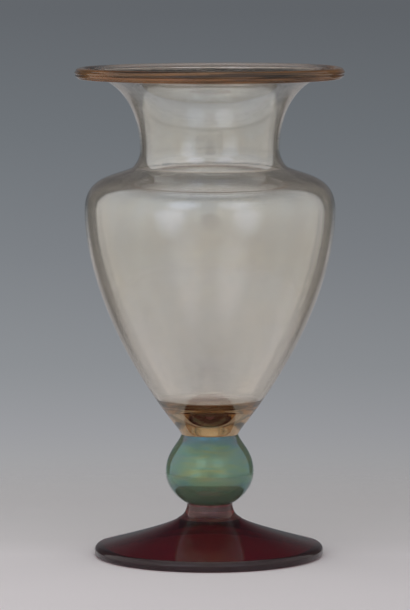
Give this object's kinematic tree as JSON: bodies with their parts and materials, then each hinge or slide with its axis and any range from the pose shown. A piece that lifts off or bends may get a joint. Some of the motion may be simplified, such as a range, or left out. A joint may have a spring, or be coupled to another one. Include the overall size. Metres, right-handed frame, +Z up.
{
  "type": "amphora vase",
  "caption": "Tall hand-blown glass amphora vase with a flared lip, a ball knop and a low conical foot.",
  "frame": {"origin": "centre of the foot, on the surface that the vase stands on", "axes": "+Z up along the vase's axis of revolution; X and Y are alike"},
  "size_m": [0.14, 0.14, 0.254],
  "materials": {
    "amethyst_glass": "glossy, deep red-violet with a thin lustre",
    "green_glass": "glossy, lustred, with fine swirls",
    "amber_glass": "glossy, clear, with a pearly lustre",
    "deep_amber_glass": "glossy, clear"
  },
  "bodies": {
    "root": {"foot": "amethyst_glass", "foot_merese": "amethyst_glass", "knop": "green_glass", "bowl": "amber_glass", "lip_wrap": "deep_amber_glass"}
  },
  "joints": []
}
